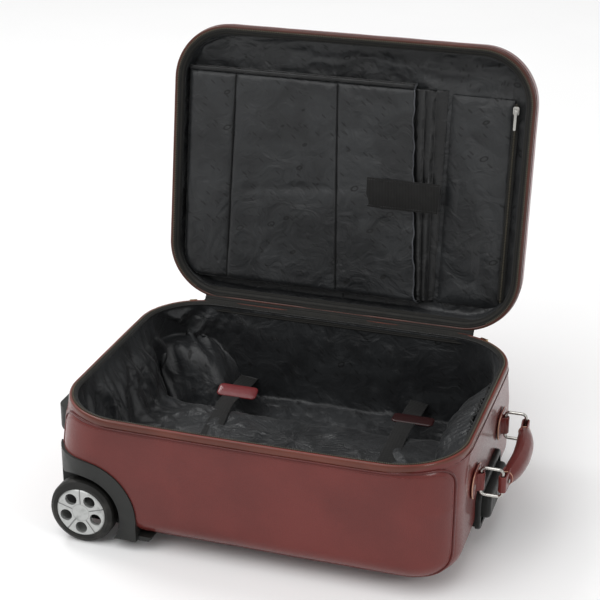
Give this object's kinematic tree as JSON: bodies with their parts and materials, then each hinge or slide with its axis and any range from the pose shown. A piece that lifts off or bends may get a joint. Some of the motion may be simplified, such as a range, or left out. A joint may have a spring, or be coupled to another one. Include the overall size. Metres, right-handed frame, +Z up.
{
  "type": "rolling laptop case",
  "caption": "Wheeled leather case lying open on its back, with a hinged lid, laptop organiser, telescoping pull handle, side carry handle and lined tub.",
  "frame": {"origin": "on the floor under the middle of the whole object, with the case on its back and its lid open", "axes": "+X along the long side from the wheels to the carry handle; +Y from the front side to the lid hinge; +Z up"},
  "size_m": [0.5695, 0.478, 0.5473],
  "materials": {
    "leather": "semi-gloss grained leather",
    "stiffener": "dull board",
    "lining_fabric": "satin lining",
    "webbing": "woven webbing",
    "zipper_tape": "woven tape",
    "black_plastic": "moulded, fine texture",
    "rubber_feet": "matt",
    "button_plastic": "satin",
    "tyre_rubber": "matt",
    "hub_silver": "silver paint",
    "steel": "zinc plated",
    "tube_aluminium": "anodised",
    "nickel": "satin nickel plate",
    "brass": "worn brass"
  },
  "bodies": {
    "case": {"tub_leather_cover": "leather", "tub_wall_board": "stiffener", "back_board": "stiffener", "tub_frame_wire": "steel", "tube_cover": "black_plastic", "tub_lining": "lining_fabric", "tub_zipper_tape": "zipper_tape", "hinge_welt": "lining_fabric", "wheel_housing_near": "black_plastic", "wheel_housing_far": "black_plastic", "housing_screws": "steel", "axle_near": "steel", "axle_far": "steel", "standing_foot": "black_plastic", "rest_feet": "rubber_feet", "outer_tubes": "tube_aluminium", "tube_bracket": "black_plastic", "handle_bezel": "black_plastic", "handle_chapes": "leather", "chape_rivets": "nickel", "strap_left": "webbing", "strap_right": "webbing", "strap_tab_left": "leather", "strap_tab_right": "leather", "side_pocket": "lining_fabric", "zip_slider_left": "brass", "zip_slider_right": "brass"},
    "wheel_near": {"wheel_hub_near": "hub_silver", "wheel_tyre_near": "tyre_rubber", "wheel_bearings_near": "steel"},
    "wheel_far": {"wheel_hub_far": "hub_silver", "wheel_tyre_far": "tyre_rubber", "wheel_bearings_far": "steel"},
    "ring_near": {"handle_ring_near": "nickel"},
    "ring_far": {"handle_ring_far": "nickel"},
    "carry_handle": {"carry_grip": "leather", "carry_handle_core": "steel"},
    "handle_middle": {"middle_tubes": "tube_aluminium", "middle_collars": "black_plastic"},
    "handle_inner": {"inner_tubes": "tube_aluminium", "grip_shell": "black_plastic", "button_spring": "steel"},
    "button": {"grip_button": "button_plastic"},
    "lid": {"lid_leather_cover": "leather", "lid_board": "stiffener", "lid_frame_wire": "steel", "lid_lining": "lining_fabric", "lid_zipper_tape": "zipper_tape", "organiser_pocket": "lining_fabric", "zip_pocket": "lining_fabric", "pocket_zipper": "zipper_tape", "tab_gusset": "lining_fabric"},
    "velcro_flap": {"velcro_tab": "webbing"},
    "pocket_slider": {"pocket_slider": "nickel"},
    "pocket_pull": {"pocket_pull": "nickel"},
    "zip_pull_left": {"zip_pull_left": "brass"},
    "zip_pull_right": {"zip_pull_right": "brass"}
  },
  "joints": [
    {"name": "lid_hinge", "type": "hinge", "parent": "case", "child": "lid", "pos_m": [-0.02075, 0.144, 0.1745], "axis": [1, 0, 0], "range_deg": [0, 98.4]},
    {"name": "wheel_near_spin", "type": "hinge", "parent": "case", "child": "wheel_near", "pos_m": [-0.23075, -0.2255, 0.042], "axis": [0, 1, 0], "continuous": true},
    {"name": "wheel_far_spin", "type": "hinge", "parent": "case", "child": "wheel_far", "pos_m": [-0.23075, 0.1345, 0.042], "axis": [0, 1, 0], "continuous": true},
    {"name": "ring_near_swing", "type": "hinge", "parent": "case", "child": "ring_near", "pos_m": [0.23775, -0.1205, 0.107], "axis": [0, 0, 1], "range_deg": [-45, 45]},
    {"name": "ring_far_swing", "type": "hinge", "parent": "case", "child": "ring_far", "pos_m": [0.23775, 0.0295, 0.107], "axis": [0, 0, 1], "range_deg": [-45, 45]},
    {"name": "carry_handle_swing", "type": "hinge", "parent": "ring_near", "child": "carry_handle", "pos_m": [0.26375, -0.1205, 0.107], "axis": [0, 0, 1], "range_deg": [-45, 45]},
    {"name": "handle_middle_slide", "type": "slide", "parent": "case", "child": "handle_middle", "axis": [1, 0, 0], "range_m": [0, 0.27]},
    {"name": "handle_inner_slide", "type": "slide", "parent": "handle_middle", "child": "handle_inner", "axis": [1, 0, 0], "range_m": [0, 0.27]},
    {"name": "grip_button_press", "type": "slide", "parent": "handle_inner", "child": "button", "axis": [-1, 0, 0], "range_m": [0, 0.0035], "stiffness_N_per_m": 600, "deforming": ["button_spring"]},
    {"name": "velcro_flap_open", "type": "hinge", "parent": "lid", "child": "velcro_flap", "pos_m": [0.10525, 0.1807, 0.34295], "axis": [0, 0.1461, 0.9893], "range_deg": [0, 150]},
    {"name": "pocket_zip_slide", "type": "slide", "parent": "lid", "child": "pocket_slider", "axis": [0, -0.1461, -0.9893], "range_m": [0, 0.23]},
    {"name": "pocket_pull_flip", "type": "hinge", "parent": "pocket_slider", "child": "pocket_pull", "pos_m": [0.19625, 0.20891, 0.46413], "axis": [-1, 0, 0], "range_deg": [0, 120]},
    {"name": "zip_pull_left_flip", "type": "hinge", "parent": "case", "child": "zip_pull_left", "pos_m": [-0.22752, 0.13897, 0.169], "axis": [0.891, 0.454, 0], "range_deg": [0, 75]},
    {"name": "zip_pull_right_flip", "type": "hinge", "parent": "case", "child": "zip_pull_right", "pos_m": [0.18602, 0.13897, 0.169], "axis": [0.891, -0.454, 0], "range_deg": [0, 75]}
  ],
  "couplings": [
    {"joint": "ring_far_swing", "follows": "ring_near_swing", "ratio": 1},
    {"joint": "carry_handle_swing", "follows": "ring_near_swing", "ratio": -1}
  ]
}
